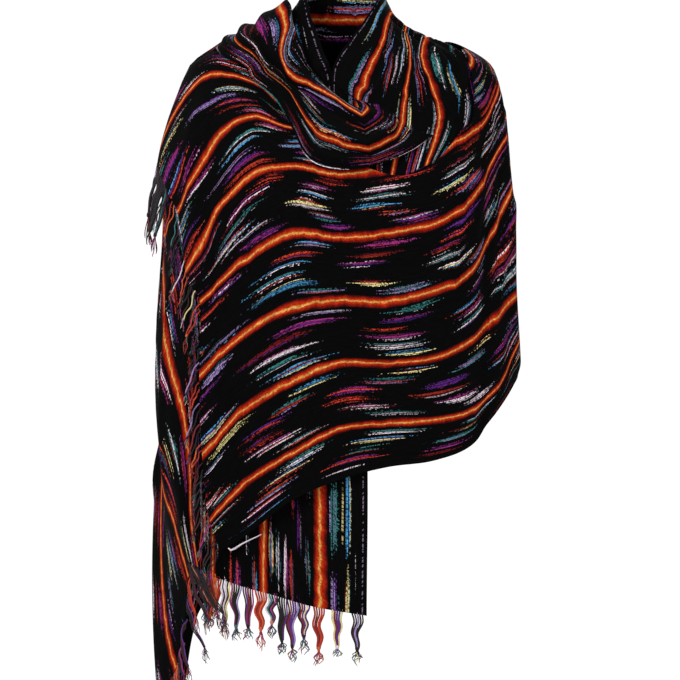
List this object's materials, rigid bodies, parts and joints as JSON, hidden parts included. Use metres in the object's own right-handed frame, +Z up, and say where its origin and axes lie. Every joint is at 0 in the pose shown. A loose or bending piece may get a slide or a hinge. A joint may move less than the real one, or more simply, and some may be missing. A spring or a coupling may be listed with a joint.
{
  "type": "rebozo shawl",
  "caption": "Long woven shawl with fringed ends as it is worn, wrapped round the arms, crossed over the chest and thrown over the shoulder.",
  "frame": {"origin": "between the shoulders, level with the shoulder tips, where the wearer's shoulders carry the cloth", "axes": "+Z up, front towards -Y, the wearer's left arm towards +X"},
  "size_m": [0.5072, 0.3035, 1.1809],
  "materials": {
    "cloth": "matt black plain weave with orange warp stripes and ikat dashes between them",
    "near_fringe": "knotted warp threads, mostly rust red and purple",
    "far_fringe": "knotted warp threads in mixed colours"
  },
  "bodies": {
    "root": {"chest_wrap": "cloth", "shoulder_cowl": "cloth", "neck_fall": "cloth", "back_drape": "cloth", "front_tail": "cloth", "side_tail": "cloth", "wrap_fringe": "near_fringe", "shoulder_fringe": "near_fringe", "front_fringe": "far_fringe", "side_fringe": "far_fringe", "back_fringe": "far_fringe"}
  },
  "joints": []
}
